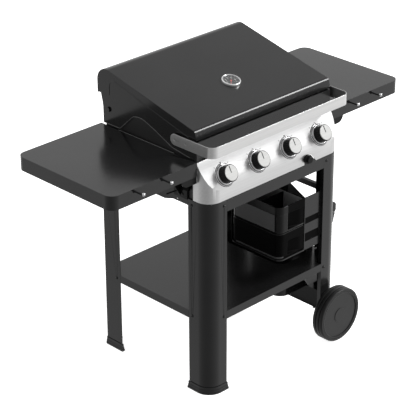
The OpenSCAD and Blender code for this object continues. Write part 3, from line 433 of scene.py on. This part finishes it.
def on_face(x, s):
    m = Matrix(((1, 0, 0), (0, CS(math.radians(60)), -SN(math.radians(60))), (0, SN(math.radians(60)), CS(math.radians(60)))))
    return Matrix.Translation((x, -253.5 + s * 0.5, 747.5 + s * CS(math.radians(30)))) @ m.to_4x4()


def on_hood(x, y):
    return Matrix.Translation((x, y, 947.5 + T13 * (y + 182))) @ Matrix.Rotation(math.radians(13), 4, "X")


KX = (-222.75, -74.25, 74.25, 222.75)
for k, (x, body) in enumerate(zip(KX, ("knob_a", "knob_b", "knob_c", "knob_d"))):
    b = B()
    b.slab(on_face(x, 39), capsule(0, 1.5, 0, 22.5, 3.0), 34.55, 35.75, 0.35)
    b.make("knob_mark_%d" % (k + 1), [M["knob"]], body)

# thin black rings at a step of each bezel and round its foot: painted shade
b = B()
for x in KX:
    b.lathe(on_face(x, 39), [(34.15, 2.9), (35.7, 2.9), (35.5, 3.4), (34.9, 3.75), (34.15, 3.8)], 96, 0, True)
    b.lathe(on_face(x, 39), [(38.05, 0.02), (39.0, 0.02), (38.85, 0.45), (38.3, 0.7), (37.8, 0.7)], 96, 0, True)
b.make("bezel_seals", [M["knob"]], "cart")

b = B()
for x in KX:
    b.slab(on_face(x, 81), capsule(-2.6, 0, 2.6, 0, 2.2), 0.02, 0.3, 0.1)
    b.slab(on_face(x + 30, 72), capsule(-1.2, -1.2, 1.4, 1.4, 1.5), 0.02, 0.3, 0.1)
    b.slab(on_face(x - 30, 72), capsule(-1.4, 1.4, 1.2, -1.2, 1.5), 0.02, 0.3, 0.1)
b.make("panel_marks", [M["knob"]], "cart")

# dial: ticks and plain numbers from 1 to 7
SEG = {"a": ((-1, 2), (1, 2)), "b": ((1, 2), (1, 0)), "c": ((1, 0), (1, -2)), "d": ((-1, -2), (1, -2)), "e": ((-1, 0), (-1, -2)),
       "f": ((-1, 2), (-1, 0)), "g": ((-1, 0), (1, 0))}
NUM = {1: "bc", 2: "abged", 3: "abgcd", 4: "fgbc", 5: "afgcd", 6: "afgedc", 7: "abc"}
b = B()
H = on_hood(0, -41.5)
for k in range(13):
    t = math.radians(225 - k * 270 / 12)
    r0 = 22.9 if k % 2 == 0 else 24.6
    b.slab(H, capsule(r0 * CS(t), r0 * SN(t), 26.0 * CS(t), 26.0 * SN(t), 0.9 if k % 2 == 0 else 0.6), 3.86, 3.98, 0.04)
for k in range(7):
    t = math.radians(225 - k * 270 / 6)
    for sg in NUM[k + 1]:
        (x0, y0), (x1, y1) = SEG[sg]
        cx, cy = 18.0 * CS(t), 18.0 * SN(t)
        b.slab(H, capsule(cx + 1.3 * x0, cy + 1.4 * y0, cx + 1.3 * x1, cy + 1.4 * y1, 1.0), 3.86, 3.98, 0.04)
b.make("dial_scale", [M["mark"]], "hood")

b = B()
b.lathe(H, [(28.45, 8.1), (28.7, 9.0), (29.6, 9.7), (31.0, 9.6), (32.2, 8.6), (32.9, 6.6), (33.3, 3.0), (33.6, 0.1), (32.2, 0.1), (32.1, 6.0), (30.9, 8.06)], 120, 0, True)
b.make("gauge_ring", [M["ring"]], "hood")

# tool pegs: black stem and flange, bright ball
b = B()
for x in (-582, -465, 405, 522):
    m = Matrix.Translation((x, -204, 837)) @ Matrix.Rotation(math.radians(90), 4, "X")
    b.lathe(m, [(0.5, 0.05), (6.0, 0.05), (6.1, 0.9), (5.2, 1.9), (3.9, 2.6), (3.2, 4.5), (3.0, 8), (3.0, 34), (3.3, 37), (2.9, 40.5), (1.6, 41.8)], 28, 0)
    c = Matrix.Translation((x, -246.5, 839.5))
    b.lathe(c, [(max(0.3, 5.5 * CS(math.radians(a))), 5.5 * SN(math.radians(a))) for a in range(-90, 91, 12)], 28, 1)
b.make("tool_pegs", [M["knob"], M["chrome"]], "cart", ("shelf_hooks",))


# bins: lofted shell with rim band, scooped front, corner slit, inner wall, divider; painted reflections on the side,
# lower lip and inner right wall
def bin_piece(name, z0, z1, body, node, divider):
    X0, X1, Y0, Y1 = 25.0, 150.0, -243.5, -16.0
    fx = [50.6, 56, 62, 66, 68.6, 69.4, 70.2, 71.5, 74, 78, 83, 88, 93, 98, 103, 108, 113, 118, 123, 128, 134, 140, 145.2]

    def plan(g, z, dep=0.0, gr=None, rr=1.6, slit=0.0):
        gr = g if gr is None else gr
        out = []
        for x in fx:
            d = 0.0
            if dep and x > 69.0:
                u = (x - 70.2) / 60.0
                d = dep * (min(1.0, max(0.0, (x - 69.2) / 1.0)) if x < 71 else max(0.0, 1 - max(0.0, u) ** 1.6) ** 1.3 if u < 1 else 0.0)
            out.append((x, Y0 + g + d, z))
        q = max(0.8, rr - gr)
        for (cx, cy, a0) in ((X1 - gr - q, Y0 + g + q, -90), (X1 - gr - q, Y1 - g - q, 0)):
            for k in range(5):
                a = math.radians(a0 + 90 * k / 4)
                out.append((cx + q * CS(a), cy + q * SN(a), z))
        for x in (120, 90, 60):
            out.append((x, Y1 - g, z))
        q = 25.5 - g
        for k in range(9):
            a = math.radians(90 + 90 * k / 8)
            out.append((X0 + 25.5 + q * CS(a), Y1 - 25.5 + q * SN(a), z))
        for y in (-60, -90, -120, -150, -180, -205):
            out.append((X0 + g, y, z))
        for a in (180, 187, 192.5, 194, 197.5, 199, 206, 215, 225, 236, 247, 258):
            r = q - (slit if a in (194, 197.5) else 0.0)
            a = math.radians(a)
            out.append((X0 + 25.5 + r * CS(a), Y0 + 25.5 + r * SN(a), z))
        return out
    zr0, zr1 = z0 + 8.5, z1 - 31.5
    L = [plan(4.5, z0 + 0.3), plan(2.6, z0 + 1.0), plan(1.6, z0 + 3.2), plan(1.4, z0 + 7.2), plan(1.4, z0 + 8.0, 0.0)]
    L += [plan(1.4, zr0 + 0.6, 6.0, slit=3.0), plan(1.4, zr0 + 2.2, 11.0, slit=5.0)]
    L += [plan(1.4, zr0 + 4 + (zr1 - zr0 - 8) * k / 5, 12.0, slit=5.0) for k in range(6)]
    L += [plan(1.4, zr1 - 2.2, 11.0, slit=5.0), plan(1.4, zr1 - 0.6, 6.0, slit=3.0), plan(1.4, z1 - 30.6), plan(1.3, z1 - 29.6), plan(0.2, z1 - 28.8), plan(0.0, z1 - 27.6)]
    L += [plan(0.0, z1 - 1.6), plan(0.4, z1 - 0.6), plan(1.3, z1 - 0.05), plan(2.6, z1 - 0.2), plan(3.2, z1 - 1.0), plan(3.3, z1 - 2.4)]
    inner0 = len(L) - 1
    # the scoop pushes the inner wall back as well
    L += [plan(3.5, z1 - 30), plan(3.6, z1 - 33, 13.0), plan(3.6, z0 + 12, 13.0), plan(4.5, z0 + 5), plan(7.0, z0 + 2.6)]
    right = range(22, 33)
    b = B()
    nf = len(fx)
    n_all = len(L[0])
    scoop0, scoop1, band0 = 5, 14, 17

    def tone(j, i):
        """plastic of each part of the shell: matt lining with a painted reflection on its right wall, matt scoop, rim
        band, side with a painted reflection
        """
        if j >= inner0:
            return 4 if divider and nf - 1 <= i <= nf + 4 else 2
        if 4 <= i < nf + 5 and j >= 3:
            return 2
        if j >= band0:
            return 3 if divider else 2
        if 4 <= i < nf + 6 and 3 <= j <= 15:
            return 2
        if i == -1:
            return 2
        left = nf + 10 + 3 + 8 <= i < n_all - 11
        if divider:
            # index 1 is the painted reflection on the left side, 4 the painted reflection on the inner right wall
            return 1 if left and 3 <= j <= 15 else (0 if i >= nf - 6 and i < nf else 3)
        return 1 if j <= 3 and (left or i >= n_all - 12) else 2
    b.loft(L, 0, True, True, tone)
    if divider:
        y = -148.0
        pl = [(28.8, y - 1), (146.4, y - 1), (146.4, y + 1), (28.8, y + 1)]
        b.loft([[(p[0], p[1], z) for p in pl] for z in (z0 + 3.0, z1 - 5.5)] + [[(p[0], y + (p[1] - y) * 0.5, z1 - 4.8) for p in pl]], 2)
    b.make(name, [M["bin"], M["satin"], M["bin_matt"], M["bin_band"], M["liner"]], body, (node,))


bin_piece("bin_upper_shell", 476.0, 575.0, "upper_bin", "bin_upper", True)
bin_piece("bin_lower_shell", 382.0, 472.8, "lower_bin", "bin_lower", False)

# dark sheets in the two slots of the front plate: painted shade
b = B()
for z0, z1 in ((408.4, 439.6), (475.4, 497.6)):
    pts = [(154.6, z0), (221.6, z0), (221.6, z1), (154.6, z1)]
    b.loft([[(x, y, z) for x, z in pts] for y in (-242.2, -243.0)] + [[(x + (0.5 if x < 200 else -0.5), -243.3, z + (0.5 if z == z0 else -0.5)) for x, z in pts]], 0)
b.make("plate_insets", [M["bin_matt"]], "cart")

# low screen on the right side between the legs, two pressed ribs, hemmed top edge that drops to the front; it wears the
# darker black coat as painted shade
b = B()
prof = [(301.0, 299.2), (310.4, 299.2), (310.4, 334), (308.9, 337), (308.9, 346), (310.4, 349), (310.4, 384), (308.9, 387), (308.9, 396), (310.4, 399),
        (310.4, 467.5), (309.2, 469.4), (307.6, 469.6), (306.6, 468.0), (307.2, 466.8), (308.6, 466.6), (308.8, 465.0), (308.8, 399.6), (307.3, 396.6),
        (307.3, 386.4), (308.8, 383.4), (308.8, 349.6), (307.3, 346.6), (307.3, 336.4), (308.8, 333.4), (308.8, 300.9), (301.0, 300.9)]
tops = ((-142.0, 469), (-141.2, 469.6), (-112, 470), (-80, 484), (-34, 507), (-20, 516), (0, 518), (158.2, 518), (159.0, 517.4))
b.loft([[(x, y, z if z < 399.5 else 399 + (z - 399) * (t - 399) / 70.6) for x, z in prof] for y, t in tops], 0)
b.make("side_screen_right", [M["under"]], "cart", bevel=0.3)

# hood ends: pressed bead under the ridge, rolled edge round the cut-out in a pale coat as a painted highlight
for s, nm in ((-1, "left"), (1, "right")):
    b = B()
    pts = [(-176, 902), (-173, 908), (-167, 913.5), (-158, 917.3)] + [(y, 919 + 0.262 * (y + 153.3)) for y in range(-145, 190, 12)]
    yy, zz = pts[-1]
    pts += [(yy + 26 * SN(math.radians(a)) , zz - 3 - 26 + 26 * CS(math.radians(a)) + 3) for a in range(14, 100, 12)]
    pts.append((pts[-1][0] + 0.2, pts[-1][1] - 22))
    b.tube([(s * 312.3, y, z) for y, z in pts], 1.5, 10, 0)
    cut = [(-168, 848.3), (-128, 853.8), (-88, 859.5), (-39, 881), (-16, 891.5), (14, 903.2), (43, 913.2), (56, 915.4), (72, 914.6), (90, 910.8), (100, 903), (128, 876), (155.5, 850.3), (162, 848.6), (196, 848.6), (234, 848.6)]
    b.tube([(s * 312.4, y, z) for y, z in cut], 1.05, 8, 1)
    b.make("hood_end_bead_" + nm, [M["charcoal"], M["edge"]], "hood")

# folded inner edge of each side shelf, in a pale coat as a painted highlight
for s, nm in ((-1, "left"), (1, "right")):
    b = B()
    b.tube([(s * 315.9, y, 843.75) for y in range(-100, 165, 20)], 1.0, 8, 0)
    b.make("shelf_edge_" + nm, [M["edge"]], "cart")

# stay and stop block beside each front bracket, with a bright rivet
for s, nm in ((-1, "left"), (1, "right")):
    b = B()
    b.tube([(s * 317.4, -66, 690), (s * 317.4, -88, 703.4), (s * 317.4, -112, 718), (s * 317.4, -139, 734.6)], 2.3, 10, 0)
    side = Matrix(((0, 0, s, s * 314.0), (1, 0, 0, 0), (0, 1, 0, 0), (0, 0, 0, 1)))
    b.slab(side, [(-172, 737), (-166, 734), (-146, 734), (-141, 738), (-139, 752), (-141, 760), (-168, 760), (-172, 756)], 0.2, 8.5, 1.0, 0)
    for y, z in ((-150, 742), (-163, 751)):
        b.lathe(side @ Matrix.Translation((y, z, 8.4)), [(0.4, 0), (3.4, 0), (3.2, 1.2), (2.2, 1.9), (0.4, 2.1)], 20, 0)
    b.lathe(side @ Matrix.Translation((-114, 690.5, 0.2)), [(0.4, 0), (3.0, 0), (2.9, 0.9), (2.2, 1.8), (1.1, 2.3), (0.3, 2.4)], 20, 1)
    b.make("shelf_stay_" + nm, [M["bin_matt"], M["ring"]], "cart")

# wheels: raised ring and boss on the outer face; black rings laid in the tread grooves as painted shade
for s, nm, body in ((-1, "front", "front_wheel"), (1, "rear", "rear_wheel")):
    m = Matrix.Translation((276.5, s * 307.8, 99)) @ Matrix.Rotation(math.radians(90 if s < 0 else -90), 4, "X")
    b = B()
    b.lathe(m, [(81.5, 0.0), (86.6, 0.0), (86.4, 1.1), (85.2, 1.55), (83.4, 1.5), (82.0, 0.9)], 120, 0, True)
    b.lathe(m, [(0.5, -2.2), (26.2, -2.2), (26.2, -0.6), (25.4, -0.1), (24.0, 0.1), (8.0, 0.15), (0.5, 0.15)], 72, 0)
    b.make("wheel_ring_" + nm, [M["hub"]], body)
    m = Matrix.Translation((276.5, 0, 99)) @ Matrix.Rotation(math.radians(90 if s < 0 else -90), 4, "X")
    # black rings in the tread grooves: painted shade
    b = B()
    for z in (279.7, 293.2):
        b.lathe(m, [(96.3, z), (97.3, z), (97.7, z + 0.5), (97.7, z + 1.6), (97.3, z + 2.1), (96.3, z + 2.1)], 120, 0, True)
    b.make("tread_groove_" + nm, [M["bin_matt"]], body)

# ------------------------------------------------------------------ stage and light
def plane(name, size, z):
    me = bpy.data.meshes.new(name)
    me.from_pydata([(-size, -size, z), (size, -size, z), (size, size, z), (-size, size, z)], [], [(0, 1, 2, 3)])
    o = bpy.data.objects.new(name, me)
    S.collection.objects.link(o)
    return o


floor = plane("floor", 30, -0.0005)
g = G("pale_floor")
g.color(g.ramp(g.noise(0.6, 3), [(0.3, (0.90, 0.90, 0.90)), (0.7, (0.93, 0.93, 0.93))]))
g.set(Roughness=0.9, Specular_IOR_Level=0.1)
g.b.inputs["Emission Color"].default_value = (1, 1, 1, 1)
g.b.inputs["Emission Strength"].default_value = 0.85
floor.data.materials.append(g.m)
floor.visible_diffuse = False
floor.visible_glossy = False

# soft white studio all round, a little dimmer low down on the front left
w = bpy.data.worlds.new("studio")
S.world = w
w.use_nodes = True
wt = w.node_tree
tc = wt.nodes.new("ShaderNodeTexCoord")
nm = wt.nodes.new("ShaderNodeVectorMath")
nm.operation = "NORMALIZE"
wt.links.new(tc.outputs["Generated"], nm.inputs[0])
dt = wt.nodes.new("ShaderNodeVectorMath")
dt.operation = "DOT_PRODUCT"
DIM = Vector((math.cos(math.radians(207)) * 0.9, math.sin(math.radians(207)) * 0.9, -0.44)).normalized()
dt.inputs[1].default_value = DIM
wt.links.new(nm.outputs[0], dt.inputs[0])
mr = wt.nodes.new("ShaderNodeMapRange")
mr.inputs["From Min"].default_value = -0.3
mr.inputs["From Max"].default_value = 1.0
mr.inputs["To Min"].default_value = 1.0
mr.inputs["To Max"].default_value = 0.32
wt.links.new(dt.outputs["Value"], mr.inputs["Value"])
dt2 = wt.nodes.new("ShaderNodeVectorMath")
dt2.operation = "DOT_PRODUCT"
dt2.inputs[1].default_value = Vector((0.30, 0.10, 0.95)).normalized()
wt.links.new(nm.outputs[0], dt2.inputs[0])
mr2 = wt.nodes.new("ShaderNodeMapRange")
mr2.inputs["From Min"].default_value = 0.45
mr2.inputs["From Max"].default_value = 0.95
mr2.inputs["To Min"].default_value = 1.0
mr2.inputs["To Max"].default_value = 0.55
wt.links.new(dt2.outputs["Value"], mr2.inputs["Value"])
mu = wt.nodes.new("ShaderNodeMath")
mu.operation = "MULTIPLY"
wt.links.new(mr.outputs[0], mu.inputs[0])
wt.links.new(mr2.outputs[0], mu.inputs[1])
bg = wt.nodes["Background"]
wt.links.new(mu.outputs[0], bg.inputs[0])
bg.inputs[1].default_value = 1.0


def area(name, loc, target, size, power, size_y=None):
    d = bpy.data.lights.new(name, "AREA")
    d.energy = power
    d.shape = "RECTANGLE"
    d.size = size
    d.size_y = size_y or size
    o = bpy.data.objects.new(name, d)
    S.collection.objects.link(o)
    o.location = loc
    o.rotation_mode = "QUATERNION"
    o.rotation_quaternion = (Vector(target) - Vector(loc)).to_track_quat("-Z", "Y")
    return o


area("key", (4.2, -2.9, 4.6), (0, 0, 0.8), 2.2, 230)
